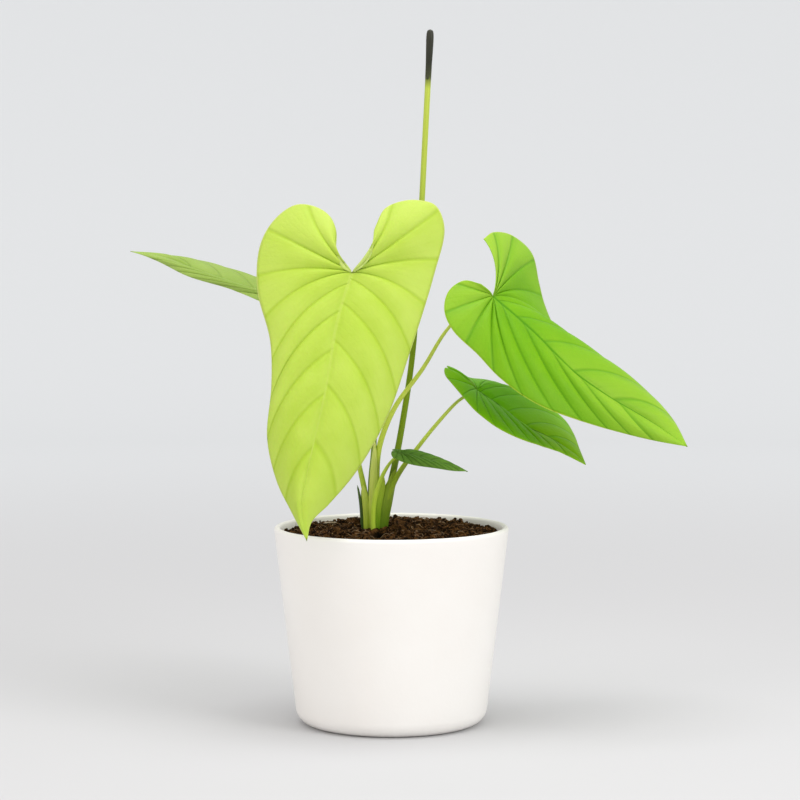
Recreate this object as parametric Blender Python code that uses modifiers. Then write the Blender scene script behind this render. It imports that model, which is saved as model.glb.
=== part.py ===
"""A young heart-leaved foliage plant growing in a plain tapered ceramic pot.

Metres, +Z up. The origin is the centre of the pot's underside, on the surface that
the pot stands on, and -Y is the side that the largest leaf faces. Lengths in the
tables below are millimetres, turned into metres by MM.

Each blade is made in its own leaf frame: u across the blade, v from the leaf stalk's
joint to the tip, h out of the upper face.
"""

import math

import bmesh
import bpy
import numpy as np
from mathutils import Matrix, Vector

MM = 0.001
GAP = 0.3

# Pot, a truncated cone with a rounded lip and foot.
POT_HEIGHT = 134.0
POT_RIM_RADIUS = 80.0
POT_FOOT_RADIUS = 63.9
POT_FOOT_ROUND = 11.0
POT_WALL = 4.3
POT_FLOOR = 6.0
POT_SIDES = 56
ARC_STEPS = 5

# Soil, mounded towards the plant, which stands left of the pot's centre.
SOIL_EDGE_DROP = 5.5
SOIL_MOUND = 5.0
SOIL_MOUND_AT = (2.0, 26.0)
SOIL_MOUND_WIDTH = 46.0
SOIL_FRONT_DIP = 3.0
SOIL_DIP_FROM = -18.0
SOIL_DIP_TO = -42.0
SOIL_RINGS = 8
CLUMP_AT = (-8.8, 0.8)
CLUMP_ROOM = 13.2
CROWN_RADIUS = 12.0
CROWN_TOP = 124.5
CROWN_DEPTH = 24.0
STEM_FOOT = CROWN_TOP + GAP

# Roots, fanned out evenly from the crown into the soil.
ROOT_COUNT = 6
ROOT_START_RADIUS = 1.5
ROOT_END_RADIUS = 0.7
ROOT_REACH = 46.0
ROOT_DEPTH = 72.0
ROOT_TURN = 25.0

# Blades: the share of the margin that fans out of the joint, the thickness, and the
# number of mesh steps along the margin and from the midrib out to it.
FAN_SHARE = 0.36
BLADE_THICKNESS = 0.6
BLADE_STEPS = (18, 4)

# Each leaf: joint position, way the upper face looks, way the tip lies, midrib and the
# two margins from the sinus to the tip as (u, v, h), and the leaf stalk's route from the
# crown to just under the joint as (x, y, z, radius).
LEAVES = {
    "front": dict(
        joint=(-26.1, -25.0, 306.5),
        face=(0.03, -0.932, 0.361),
        tip_way=(-0.15, -0.361, -0.92),
        midrib=[(0, 0, 0), (4, 35, 4), (4, 85, 7), (7, 142, 5), (7, 166, 3), (0, 186.5, 0)],
        left=[(14, -30, -1), (27, -44, -3), (42, -47, -6), (56, -38, -9), (64, -14, -10),
              (61, 18, -9), (46, 55, -4), (40, 86, -3), (37, 121, -4), (26, 149, -4),
              (14, 167, -2), (0, 186.5, 0)],
        right=[(-10, -26, 3), (-15, -43, 0), (-25, -57, -4), (-38, -65, -8), (-50, -63, -11),
               (-56, -45, -13), (-54, -10, -12), (-46, 49, -8), (-38, 95, -6),
               (-24, 134, -5), (-10, 159, -3), (-1, 173, -1), (0, 186.5, 0)],
        colour=(0.42, 0.72, 0.06),
        stalk=[(-13.2, 5.6, STEM_FOOT, 2.4), (-14.2, 6.4, 160, 2.3), (-12.0, 5.6, 190, 2.0),
               (-12.5, 3.0, 232, 1.7), (-18.0, -4.0, 272, 1.5), (-24.5, -15.0, 299, 1.4),
               (-26.2, -22.6, 305.4, 1.4)],
    ),
    "left": dict(
        joint=(-50.5, 35.0, 280.3),
        face=(0.153, -0.194, 0.969),
        tip_way=(-0.839, 0.493, 0.231),
        midrib=[(0, 0, 0), (-6, 45, 1), (-5, 90, 2), (6, 135, 1), (0, 163, 0)],
        left=[(8, -20, -2), (18, -30, -4), (30, -24, -6), (36, -4, -6), (31, 25, -3),
              (25, 66, -1), (25, 100, 0), (24, 135, 0), (0, 163, 0)],
        right=[(-8, -20, -2), (-18, -30, -4), (-30, -24, -6), (-36, -4, -6), (-32, 25, -3),
               (-23, 60, 0), (-20, 95, 0), (-4, 135, 0), (0, 163, 0)],
        colour=(0.35, 0.58, 0.16),
        stalk=[(-16.2, 0.8, STEM_FOOT, 2.3), (-17.6, 1.8, 152, 2.2), (-21.5, 4.0, 172, 1.9),
               (-30.0, 12.0, 207, 1.6), (-41.0, 24.0, 248, 1.4), (-50.0, 34.2, 278.2, 1.3)],
    ),
    "upper_right": dict(
        joint=(68.4, -15.0, 290.3),
        face=(0.453, -0.674, 0.584),
        tip_way=(0.79, 0.0, -0.613),
        midrib=[(0, 0, 0), (5, 34, 2), (11, 72, 1), (8, 96, -1), (-1, 138, -3), (0, 165, 0)],
        left=[(2, -12, 3), (4, -22, -2), (14, -26, -8), (27, -21, -12), (37, -9, -12),
              (43, 14, -10), (49, 35, -9), (48, 64, -9), (35, 96, -9), (16, 132, -7),
              (0, 165, 0)],
        right=[(-33, -28, 6), (-49, -25, 2), (-67, -12, -6), (-72, 6, -13), (-62, 23, -20),
               (-53, 35, -23), (-42, 50, -24), (-38, 69, -25), (-38, 103, -22), (-34, 127, -14),
               (-20, 147, -6), (0, 165, 0)],
        colour=(0.25, 0.60, 0.04),
        stalk=[(-10.5, -0.3, STEM_FOOT, 2.7), (-10.6, -1.0, 160, 2.5), (-8.6, -1.8, 187, 2.2),
               (1.8, -3.0, 214, 1.9), (21.0, -4.0, 241, 1.6), (36.7, -5.5, 266.5, 1.3),
               (52.0, -9.0, 282.0, 1.1), (67.0, -13.2, 288.3, 1.1)],
    ),
    "lower_right": dict(
        joint=(58.5, 12.0, 225.7),
        face=(0.548, -0.342, 0.764),
        tip_way=(0.821, 0.042, -0.57),
        midrib=[(0, 0, 0), (0, 18, 0), (3, 41, 0), (-4, 60, 0), (-5, 80, 0), (0, 90.5, 0)],
        left=[(4, -20, 0), (8, -25, 0), (14, -20, 0), (22, -9, 0), (31, 4, 0), (35, 22, 0),
              (30, 39, 0), (19, 55, 0), (7, 71, 0), (0, 90.5, 0)],
        right=[(-6, -18, -3), (-16, -26, -6), (-28, -19, -8), (-36, 2, -6), (-42, 25, -2),
               (-48, 50, 0), (-48, 66, 0), (-36, 76, 0), (-15, 84, 0), (0, 90.5, 0)],
        colour=(0.12, 0.42, 0.02),
        stalk=[(-3.2, -3.6, STEM_FOOT, 2.4), (-2.6, -3.8, 150, 2.3), (3.5, -4.2, 167.5, 2.0),
               (18.0, -2.6, 188, 1.6), (33.0, 1.5, 206, 1.4), (46.0, 6.0, 219.0, 1.2),
               (57.2, 10.8, 224.0, 1.1)],
    ),
    "small": dict(
        joint=(5.0, -19.5, 185.0),
        face=(0.24, -0.34, 0.91),
        tip_way=(0.96, -0.05, -0.25),
        midrib=[(0, 0, 0), (0, 25, 0.5), (0, 48, 0)],
        left=[(3, -5, 1), (7, -6, 1), (11, -1, 1), (12, 9, 1), (11, 24, 1), (6, 38, 1),
              (0, 48, 0)],
        right=[(-3, -5, 1), (-7, -6, 1), (-11, -1, 1), (-12, 9, 1), (-11, 24, 1), (-6, 38, 1),
               (0, 48, 0)],
        colour=(0.05, 0.20, 0.03),
        stalk=[(-11.5, -5.8, STEM_FOOT, 2.0), (-11.8, -6.6, 150, 1.9), (-7.5, -9.5, 166, 1.6),
               (-1.5, -14.5, 177.5, 1.2), (4.2, -18.6, 183.4, 1.0)],
    ),
}

# Flower stalk and the closed bud on top of it, as (x, y, z, radius).
FLOWER_STALK = [(-4.8, 1.8, STEM_FOOT, 2.5), (-3.4, 1.9, 145, 2.4), (2.4, 2.2, 175, 2.2),
                (7.9, 3.2, 206, 2.1), (14.6, 8.0, 253, 2.0), (19.4, 15.0, 330, 1.9),
                (22.8, 18.0, 396, 1.9), (24.9, 19.0, 437, 2.0)]
BUD = [(24.92, 19.0, 437 + GAP, 2.1), (25.3, 19.2, 445, 2.5), (25.8, 19.4, 457, 2.4),
       (26.1, 19.6, 466, 2.1), (26.2, 19.6, 469.4, 1.2)]

# Dry scale leaves left standing at the foot of the clump.
SCALE_LEAVES = {
    "left_scale_leaf": [(-19.6, 0.2, STEM_FOOT, 1.3), (-20.6, 0.2, 146, 1.1),
                        (-23.2, 0.4, 162, 0.4)],
    "rear_scale_leaf": [(-8.2, 7.4, STEM_FOOT, 1.4), (-7.2, 7.6, 144, 1.2),
                        (-5.0, 8.4, 159, 0.5)],
}


def make_material(name, colour, roughness):
    material = bpy.data.materials.new(name)
    material.use_nodes = True
    shader = material.node_tree.nodes["Principled BSDF"]
    shader.inputs["Base Color"].default_value = (*colour, 1.0)
    shader.inputs["Roughness"].default_value = roughness
    shader.inputs["Metallic"].default_value = 0.0
    return material


def add_object(name, data, collection, colour=(0.5, 0.5, 0.5), roughness=0.5):
    obj = bpy.data.objects.new(name, data)
    collection.objects.link(obj)
    obj.data.materials.append(make_material(name, colour, roughness))
    return obj


def smooth_path(points, steps):
    """Evenly spaced points on a smooth curve through the given ones."""
    points = np.array(points, dtype=float)
    knots = np.r_[0.0, np.cumsum(np.sqrt(np.linalg.norm(np.diff(points[:, :3], axis=0), axis=1)))]
    slopes = np.gradient(points, knots, axis=0)
    fine = np.linspace(0.0, knots[-1], 40 * len(points))
    index = np.clip(np.searchsorted(knots, fine, side="right") - 1, 0, len(knots) - 2)
    span = (knots[index + 1] - knots[index])[:, None]
    x = (fine - knots[index])[:, None] / span
    curve = ((1 + 2 * x) * (1 - x) ** 2 * points[index] + x * (1 - x) ** 2 * span * slopes[index]
             + x ** 2 * (3 - 2 * x) * points[index + 1] + x ** 2 * (x - 1) * span * slopes[index + 1])
    length = np.r_[0.0, np.cumsum(np.linalg.norm(np.diff(curve[:, :3], axis=0), axis=1))]
    at = np.linspace(0.0, length[-1], steps + 1)
    return np.stack([np.interp(at, length, curve[:, k]) for k in range(curve.shape[1])], axis=1)


def arc(centre, radius, start, end):
    """Profile points on an arc, angles in degrees from +X."""
    angles = np.radians(np.linspace(start, end, ARC_STEPS + 1))
    return [(centre[0] + radius * math.cos(a), centre[1] + radius * math.sin(a)) for a in angles]


def wall_lean():
    return math.atan2(POT_RIM_RADIUS - POT_FOOT_RADIUS, POT_HEIGHT)


def outer_radius(height):
    return POT_FOOT_RADIUS + height * math.tan(wall_lean())


def inner_radius(height):
    return outer_radius(height) - POT_WALL / math.cos(wall_lean())


def foot_centre():
    return (outer_radius(POT_FOOT_ROUND) - POT_FOOT_ROUND / math.cos(wall_lean()), POT_FOOT_ROUND)


def inner_corner():
    """Centre and radius of the rounded corner between the pot's wall and floor, inside."""
    radius = POT_FOOT_ROUND - POT_WALL
    return (foot_centre()[0], POT_FLOOR + radius), radius


def turned(name, profile, collection, colour, roughness):
    """A turned solid from (radius, height) points, given from the inside to the outside."""
    mesh = bpy.data.meshes.new(name)
    points = [(r * MM, 0.0, z * MM) for r, z in profile]
    mesh.from_pydata(points, [(i, i + 1) for i in range(len(points) - 1)], [])
    obj = add_object(name, mesh, collection, colour, roughness)
    screw = obj.modifiers.new("turn", "SCREW")
    screw.steps = POT_SIDES
    screw.render_steps = POT_SIDES
    screw.use_merge_vertices = True
    screw.merge_threshold = 0.00001
    screw.use_smooth_shade = True
    return obj


def make_pot(collection):
    lean = math.degrees(wall_lean())
    lip = POT_WALL / 2
    lip_height = POT_HEIGHT - lip
    lip_centre = (outer_radius(lip_height) - lip / math.cos(wall_lean()), lip_height)
    corner, corner_radius = inner_corner()
    profile = [(0.0, POT_FLOOR)]
    profile += arc(corner, corner_radius, -90, -lean)
    profile += arc(lip_centre, lip, 180 - lean, -lean)
    profile += arc(foot_centre(), POT_FOOT_ROUND, -lean, -90)
    profile += [(0.0, 0.0)]
    return turned("pot", profile, collection, (0.86, 0.84, 0.82), 0.45)


def soil_height(x, y):
    """Height of the soil's top in millimetres, at x and y in millimetres."""
    base = POT_HEIGHT - SOIL_EDGE_DROP
    forward = min(1.0, max(0.0, (y - SOIL_DIP_FROM) / (SOIL_DIP_TO - SOIL_DIP_FROM)))
    base -= SOIL_FRONT_DIP * forward
    off = math.hypot(x - SOIL_MOUND_AT[0], y - SOIL_MOUND_AT[1])
    mound = SOIL_MOUND * math.exp(-(off / SOIL_MOUND_WIDTH) ** 2)
    lumps = 0.9 * math.sin(x / 6.1 + 0.7) * math.cos(y / 7.3) + 0.5 * math.sin(x / 3.7 - y / 5.1)
    return base + mound + lumps


def make_soil(collection, cutters):
    top = POT_HEIGHT - SOIL_EDGE_DROP
    corner, corner_radius = inner_corner()
    radii = np.linspace(0.0, inner_radius(top) - 2 * GAP, SOIL_RINGS + 1)
    profile = [(r, top) for r in radii]
    profile += arc(corner, corner_radius - GAP, -math.degrees(wall_lean()), -90)
    profile += [(0.0, POT_FLOOR + GAP)]
    mesh = bpy.data.meshes.new("soil")
    bm = bmesh.new()
    line = [bm.verts.new((r * MM, 0.0, z * MM)) for r, z in profile]
    edges = [bm.edges.new(pair) for pair in zip(line, line[1:])]
    bmesh.ops.spin(bm, geom=line + edges, cent=(0, 0, 0), axis=(0, 0, 1),
                   angle=2 * math.pi, steps=POT_SIDES, use_merge=True)
    bmesh.ops.remove_doubles(bm, verts=bm.verts, dist=0.00001)
    for vert in bm.verts:
        if vert.co.z > (top - 1.0) * MM:
            edge = math.hypot(vert.co.x, vert.co.y) / (radii[-1] * MM)
            height = soil_height(vert.co.x / MM, vert.co.y / MM)
            if edge > 0.99:
                height = top - 1.5
            vert.co.z = height * MM
    bmesh.ops.recalc_face_normals(bm, faces=bm.faces)
    bm.to_mesh(mesh)
    bm.free()
    soil = add_object("soil", mesh, collection, (0.045, 0.022, 0.012), 0.95)
    for cutter in cutters:
        cut = soil.modifiers.new("cut_" + cutter.name, "BOOLEAN")
        cut.operation = "DIFFERENCE"
        cut.solver = "EXACT"
        cut.object = cutter
    return soil


def crown_profile(extra):
    """Profile of the crown, grown by extra millimetres, from its underside's centre out."""
    low = CROWN_TOP - CROWN_DEPTH - extra
    wide = CROWN_RADIUS + extra
    top = CROWN_TOP + extra
    outline = [(0.0, top), (wide - 1.0, top), (wide, top - 2.5), (wide, top - 9.0),
               (0.75 * wide, low + 4.0), (0.4 * wide, low + 0.6), (0.0, low)]
    return outline


def make_crown(collection):
    crown = turned("crown", crown_profile(0.0), collection, (0.20, 0.11, 0.05), 0.8)
    crown.location = (CLUMP_AT[0] * MM, CLUMP_AT[1] * MM, 0.0)
    return crown


def make_crown_room(cutters):
    outline = crown_profile(GAP)[3:]
    top = POT_HEIGHT + 20.0
    shaft = [(0.0, top), (CLUMP_ROOM + 1.0, top), (CLUMP_ROOM, CROWN_TOP - 1.0)]
    room = turned("crown_room", shaft + outline, cutters, (0.5, 0.5, 0.5), 0.5)
    room.location = (CLUMP_AT[0] * MM, CLUMP_AT[1] * MM, 0.0)
    return room


def make_tube(name, points, collection, colour=(0.5, 0.5, 0.5), roughness=0.5, spacing=12.0,
              extra=0.0, longer=0.0):
    """A round stem whose thickness changes along its length.

    A cutter made for it is the same tube, thicker by extra and longer at both ends.
    """
    points = np.array(points, dtype=float)
    length = np.linalg.norm(np.diff(points[:, :3], axis=0), axis=1).sum()
    route = smooth_path(points, max(5, round(length / spacing)))
    if longer:
        first = route[0] - longer * (route[1] - route[0]) / np.linalg.norm((route[1] - route[0])[:3])
        last = route[-1] + longer * (route[-1] - route[-2]) / np.linalg.norm((route[-1] - route[-2])[:3])
        route = np.vstack([first, route, last])
    curve = bpy.data.curves.new(name, "CURVE")
    curve.dimensions = "3D"
    curve.bevel_depth = MM
    curve.bevel_resolution = 2
    curve.use_fill_caps = True
    spline = curve.splines.new("POLY")
    spline.points.add(len(route) - 1)
    for point, (x, y, z, radius) in zip(spline.points, route):
        point.co = (x * MM, y * MM, z * MM, 1.0)
        point.radius = radius + extra
    return add_object(name, curve, collection, colour, roughness)


def root_route(number):
    """Points along one root, which starts just clear of the crown."""
    angle = math.radians(ROOT_TURN + number * 360.0 / ROOT_COUNT)
    start = CROWN_RADIUS + 4 * GAP
    level = CROWN_TOP - 0.3 * CROWN_DEPTH
    droop = ROOT_DEPTH * (0.75 + 0.25 * math.cos(2.4 * number))
    shares = np.linspace(0.0, 1.0, 6)
    points = []
    for share in shares:
        out = start + (ROOT_REACH - start) * share ** 0.8
        swing = angle + 0.35 * share * math.sin(1.7 * number + 1.0)
        radius = ROOT_START_RADIUS + (ROOT_END_RADIUS - ROOT_START_RADIUS) * share
        points.append((CLUMP_AT[0] * (1 - 0.8 * share) + out * math.cos(swing),
                       CLUMP_AT[1] + out * math.sin(swing),
                       level - droop * share ** 1.7, radius))
    return points


def tube_to_mesh(obj):
    """Replaces a curve object by a closed mesh that can cut another piece."""
    depsgraph = bpy.context.evaluated_depsgraph_get()
    mesh = bpy.data.meshes.new_from_object(obj.evaluated_get(depsgraph))
    bm = bmesh.new()
    bm.from_mesh(mesh)
    bmesh.ops.remove_doubles(bm, verts=bm.verts, dist=0.00001)
    bmesh.ops.recalc_face_normals(bm, faces=bm.faces)
    bm.to_mesh(mesh)
    bm.free()
    name = obj.name
    replacement = bpy.data.objects.new(name + "_cut", mesh)
    replacement.matrix_world = obj.matrix_world
    obj.users_collection[0].objects.link(replacement)
    bpy.data.objects.remove(obj)
    replacement.name = name
    return replacement


def make_roots(collection):
    for number in range(ROOT_COUNT):
        make_tube(f"root_{number + 1}", root_route(number), collection, (0.55, 0.45, 0.30), 0.8)


def make_root_rooms(cutters):
    rooms = []
    for number in range(ROOT_COUNT):
        room = make_tube(f"root_room_{number + 1}", root_route(number), cutters,
                         extra=2 * GAP, longer=6 * GAP)
        rooms.append(tube_to_mesh(room))
    return rooms


def rib_points(midrib, margin, steps):
    """Rows of points from the midrib out to the margin, following the side veins.

    The first rows fan out of the joint into the basal lobe. The others leave the
    midrib and lean forward, so that each row ends further towards the tip.
    """
    along, across = steps
    edge = smooth_path(margin, along)
    spine = smooth_path(midrib, 10 * along)
    rows = []
    for i in range(along + 1):
        t = i / along
        place = max(0.0, (t - FAN_SHARE) / (1 - FAN_SHARE)) ** 1.15
        root = spine[round(place * 10 * along)]
        reach = edge[i] - root
        sideways = np.array([-reach[1], reach[0], 0.0]) * (1 if edge[1][0] > 0 else -1)
        bend = 0.16 - 0.34 * t
        rise = np.array([0.0, 0.0, 0.10 * np.linalg.norm(reach)])
        middle = (root + edge[i]) / 2 + bend * sideways + rise
        w = np.linspace(0.0, 1.0, across + 1)[:, None]
        rows.append((1 - w) ** 2 * root + 2 * w * (1 - w) * middle + w ** 2 * edge[i])
    return np.array(rows)


def leaf_matrix(leaf):
    """Leaf frame to world: columns across, along and out of the upper face."""
    out = Vector(leaf["face"]).normalized()
    along = Vector(leaf["tip_way"])
    along = (along - along.dot(out) * out).normalized()
    across = along.cross(out)
    turn = Matrix((across, along, out)).transposed().to_4x4()
    return Matrix.Translation(Vector(leaf["joint"]) * MM) @ turn


def make_blade(name, leaf, collection):
    mesh = bpy.data.meshes.new(name)
    bm = bmesh.new()
    along, across = BLADE_STEPS
    for side in ("left", "right"):
        rows = rib_points(leaf["midrib"], leaf[side], BLADE_STEPS)
        made = bmesh.ops.create_grid(bm, x_segments=along, y_segments=across, size=1.0)
        for vert in made["verts"]:
            i = round((vert.co.x + 1) / 2 * along)
            j = round((vert.co.y + 1) / 2 * across)
            vert.co = Vector(rows[i][j]) * MM
        if side == "left":
            faces = {face for vert in made["verts"] for face in vert.link_faces}
            bmesh.ops.reverse_faces(bm, faces=list(faces))
    bmesh.ops.remove_doubles(bm, verts=bm.verts, dist=0.0003)
    bm.to_mesh(mesh)
    bm.free()
    blade = add_object(name, mesh, collection, leaf["colour"], 0.4)
    blade.matrix_world = leaf_matrix(leaf)
    solid = blade.modifiers.new("thickness", "SOLIDIFY")
    solid.thickness = BLADE_THICKNESS * MM
    solid.offset = 0.0
    return blade


def make_leaves(collection):
    for name, leaf in LEAVES.items():
        make_blade(name + "_leaf_blade", leaf, collection)
        make_tube(name + "_leaf_stalk", leaf["stalk"], collection, (0.30, 0.45, 0.06), 0.45)


def make_flower(collection):
    make_tube("flower_stalk", FLOWER_STALK, collection, (0.28, 0.36, 0.06), 0.45)
    make_tube("flower_bud", BUD, collection, (0.03, 0.035, 0.02), 0.5, spacing=4.0)


def make_scale_leaves(collection):
    for name, route in SCALE_LEAVES.items():
        make_tube(name, route, collection, (0.05, 0.12, 0.03), 0.6, spacing=8.0)


def build():
    for obj in list(bpy.data.objects):
        bpy.data.objects.remove(obj)
    collection = bpy.data.collections.new("potted_plant")
    cutters = bpy.data.collections.new("cutters")
    bpy.context.scene.collection.children.link(collection)
    bpy.context.scene.collection.children.link(cutters)
    rooms = [make_crown_room(cutters)] + make_root_rooms(cutters)
    for room in rooms:
        room.hide_render = True
        room.display_type = "WIRE"
    make_pot(collection)
    make_soil(collection, rooms)
    make_crown(collection)
    make_roots(collection)
    make_leaves(collection)
    make_flower(collection)
    make_scale_leaves(collection)


build()
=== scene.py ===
"""A young heart-leaved plant in a plain white pot: finishes and fine shapes.

Metres, +Z up. The origin is the centre of the pot's underside and the large front
leaf faces -Y. The tables of the soil's lie and of the plant's parts are in millimetres,
and MM scales them.
"""

import math
import random

import bmesh
import bpy
import numpy as np
from mathutils import Matrix, Vector, noise


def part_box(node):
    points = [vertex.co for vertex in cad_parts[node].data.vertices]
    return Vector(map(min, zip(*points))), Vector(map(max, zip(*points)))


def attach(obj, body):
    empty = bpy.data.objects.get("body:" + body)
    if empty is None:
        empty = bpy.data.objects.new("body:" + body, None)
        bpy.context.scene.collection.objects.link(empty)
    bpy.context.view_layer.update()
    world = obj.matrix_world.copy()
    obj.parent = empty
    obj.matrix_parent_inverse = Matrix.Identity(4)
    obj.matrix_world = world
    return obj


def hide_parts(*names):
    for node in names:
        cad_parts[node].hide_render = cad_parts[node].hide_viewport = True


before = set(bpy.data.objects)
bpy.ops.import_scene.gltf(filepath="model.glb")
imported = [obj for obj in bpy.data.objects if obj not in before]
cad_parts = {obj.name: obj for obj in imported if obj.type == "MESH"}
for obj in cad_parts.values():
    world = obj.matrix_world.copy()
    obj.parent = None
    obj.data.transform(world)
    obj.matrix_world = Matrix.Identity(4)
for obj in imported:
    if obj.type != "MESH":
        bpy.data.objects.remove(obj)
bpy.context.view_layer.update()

# ---------------------------------------------------------------------------
# Table, backdrop, light and view. The plant stands on a pale seamless sweep
# under soft, nearly even studio light with a little more from the right.
# ---------------------------------------------------------------------------

SWEEP_FLOOR = 1.4
SWEEP_WALL = 3.2
SWEEP_CURVE = 1.0
SWEEP_TOP = 4.5
SWEEP_SIDES = 96
# The paper is painted darker on the floor round the pot and paler out to the wall: painted shade
# near the pot and painted light on the far floor and wall.
FLOOR_TONE = (0.60, 0.60, 0.61)
WALL_TONE = (0.935, 0.955, 0.98)
TONE_START = 0.45
TONE_END = 2.3
ROOM_TONE = (1.0, 0.995, 0.985, 1.0)
ROOM_STRENGTH = 0.66
LIGHT_AIM = (0.0, 0.0, 0.2)
# Each lamp's place, width, power and colour.
LAMPS = {
    "overhead": ((0.1, -0.1, 1.9), 1.5, 20.0, (1.0, 1.0, 1.0)),
    "right": ((1.5, -1.3, 1.1), 1.0, 15.5, (1.0, 0.99, 0.97)),
    "left": ((-1.5, -1.2, 0.8), 1.2, 7.5, (1.0, 0.95, 0.90)),
}
VIEW_FROM = (0.0058, -1.8, 0.3507)
VIEW_DOWN = 4.17
VIEW_LENS = 120.2
VIEW_SENSOR = 36.0
VIEW_NEAR = 0.05


def plain_material(name, colour, roughness):
    material = bpy.data.materials.new(name)
    material.use_nodes = True
    shader = material.node_tree.nodes["Principled BSDF"]
    shader.inputs["Base Color"].default_value = (*colour, 1.0)
    shader.inputs["Roughness"].default_value = roughness
    return material


def add_piece(name, mesh, materials):
    piece = bpy.data.objects.new(name, mesh)
    bpy.context.scene.collection.objects.link(piece)
    for material in materials:
        mesh.materials.append(material)
    return piece


def link(tree, output, socket):
    tree.links.new(output, socket)


def add_node(tree, kind, **values):
    """Adds a node and sets its properties by name and its sockets by number."""
    node = tree.nodes.new(kind)
    for key, value in values.items():
        if key.startswith("in_"):
            node.inputs[int(key[3:])].default_value = value
        else:
            setattr(node, key, value)
    return node


def blend_colours(tree, share, first, second):
    """Mixes two colours, each a socket or a plain colour, by a socket."""
    mix = add_node(tree, "ShaderNodeMix", data_type="RGBA")
    link(tree, share, mix.inputs["Factor"])
    for socket, colour in ((mix.inputs[6], first), (mix.inputs[7], second)):
        if isinstance(colour, tuple):
            socket.default_value = (*colour, 1.0)
        else:
            link(tree, colour, socket)
    return mix.outputs[2]


def soft_step(tree, source, low, high, first=0.0, last=1.0):
    """Changes smoothly from first to last while the source goes from low to high."""
    step = add_node(tree, "ShaderNodeMapRange", interpolation_type="SMOOTHSTEP",
                    in_1=low, in_2=high, in_3=first, in_4=last)
    link(tree, source, step.inputs[0])
    return step.outputs[0]


def smooth_mesh(bm, name):
    """Turns a bmesh into a smooth shaded mesh and frees it."""
    mesh = bpy.data.meshes.new(name)
    bm.to_mesh(mesh)
    bm.free()
    mesh.shade_smooth()
    return mesh


def close_mesh(bm, name, distance=1e-5):
    """Merges seams and poles, turns the faces out and returns the finished mesh."""
    bmesh.ops.remove_doubles(bm, verts=bm.verts, dist=distance)
    bmesh.ops.recalc_face_normals(bm, faces=bm.faces)
    return smooth_mesh(bm, name)


def turned_mesh(name, profile, sides):
    """A turned surface from (radius, height) points in metres, smooth shaded."""
    bm = bmesh.new()
    line = [bm.verts.new((r, 0.0, z)) for r, z in profile]
    edges = [bm.edges.new(pair) for pair in zip(line, line[1:])]
    bmesh.ops.spin(bm, geom=line + edges, cent=(0, 0, 0), axis=(0, 0, 1),
                   angle=2 * math.pi, steps=sides, use_merge=True)
    return close_mesh(bm, name, 1e-6)


def make_stage():
    paper = plain_material("sweep paper", FLOOR_TONE, 0.9)
    tree = paper.node_tree
    place = tree.nodes.new("ShaderNodeTexCoord")
    away = add_node(tree, "ShaderNodeVectorMath", operation="LENGTH")
    link(tree, place.outputs["Object"], away.inputs[0])
    # Painted shade and light: the paper's tone climbs from the dark floor by the pot to the pale
    # wall.
    climb = soft_step(tree, away.outputs["Value"], TONE_START, TONE_END)
    link(tree, blend_colours(tree, climb, FLOOR_TONE, WALL_TONE),
         tree.nodes["Principled BSDF"].inputs["Base Color"])
    flat = [(0.0, 0.0), (SWEEP_FLOOR, 0.0)]
    floor = add_piece("floor", turned_mesh("floor", flat, SWEEP_SIDES), [paper])
    curve = [(SWEEP_WALL - SWEEP_CURVE + SWEEP_CURVE * math.sin(a),
              SWEEP_CURVE * (1 - math.cos(a))) for a in np.radians(np.linspace(0, 90, 13))]
    profile = [(SWEEP_FLOOR, 0.0)] + curve + [(SWEEP_WALL, SWEEP_TOP)]
    sweep = add_piece("sweep", turned_mesh("sweep", profile, SWEEP_SIDES), [paper])
    for ray in ("diffuse", "glossy", "shadow", "transmission"):
        setattr(sweep, "visible_" + ray, False)


def add_light(name, place, width, power, colour):
    light = bpy.data.lights.new(name, "AREA")
    light.shape = "DISK"
    light.size = width
    light.energy = power
    light.color = colour
    lamp = bpy.data.objects.new(name, light)
    lamp.location = place
    lamp.rotation_euler = (Vector(LIGHT_AIM) - Vector(place)).to_track_quat("-Z", "Y").to_euler()
    bpy.context.scene.collection.objects.link(lamp)


def make_light_and_view():
    world = bpy.data.worlds.new("studio")
    world.use_nodes = True
    room = world.node_tree.nodes["Background"]
    room.inputs["Color"].default_value = ROOM_TONE
    room.inputs["Strength"].default_value = ROOM_STRENGTH
    bpy.context.scene.world = world
    for name, facts in LAMPS.items():
        add_light(name, *facts)
    view = bpy.data.cameras.new("view")
    view.lens = VIEW_LENS
    view.sensor_width = VIEW_SENSOR
    view.clip_start = VIEW_NEAR
    camera = bpy.data.objects.new("view", view)
    camera.location = VIEW_FROM
    camera.rotation_euler = (math.radians(90.0 - VIEW_DOWN), 0.0, 0.0)
    bpy.context.scene.collection.objects.link(camera)
    bpy.context.scene.camera = camera
    bpy.context.scene.view_settings.view_transform = "Standard"


make_stage()
make_light_and_view()


# ---------------------------------------------------------------------------
# Pot: one slip-cast shell of white earthenware with a satin glaze. Its lip is
# fully rounded, its foot softly, and the glaze is a touch uneven in tone.
# ---------------------------------------------------------------------------

pot_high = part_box("pot")[1]
RIM_RADIUS = pot_high[0]
POT_HEIGHT = pot_high[2]
POT_SIDES = 160
FOOT_RADIUS = 0.0639
FOOT_ROUND = 0.011
WALL = 0.0043
POT_FLOOR = 0.006
LEAN = math.atan2(RIM_RADIUS - FOOT_RADIUS, POT_HEIGHT)
GLAZE_DULL = (0.93, 0.90, 0.865)
GLAZE_CLEAN = (0.95, 0.93, 0.90)


def outer_radius(height):
    return FOOT_RADIUS + height * math.tan(LEAN)


def inner_radius(height):
    return outer_radius(height) - WALL / math.cos(LEAN)


def arc(centre, radius, start, end, steps):
    """Points along part of a circle in the turned outline."""
    return [(centre[0] + radius * math.cos(a), centre[1] + radius * math.sin(a))
            for a in np.linspace(start, end, steps + 1)]


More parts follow.
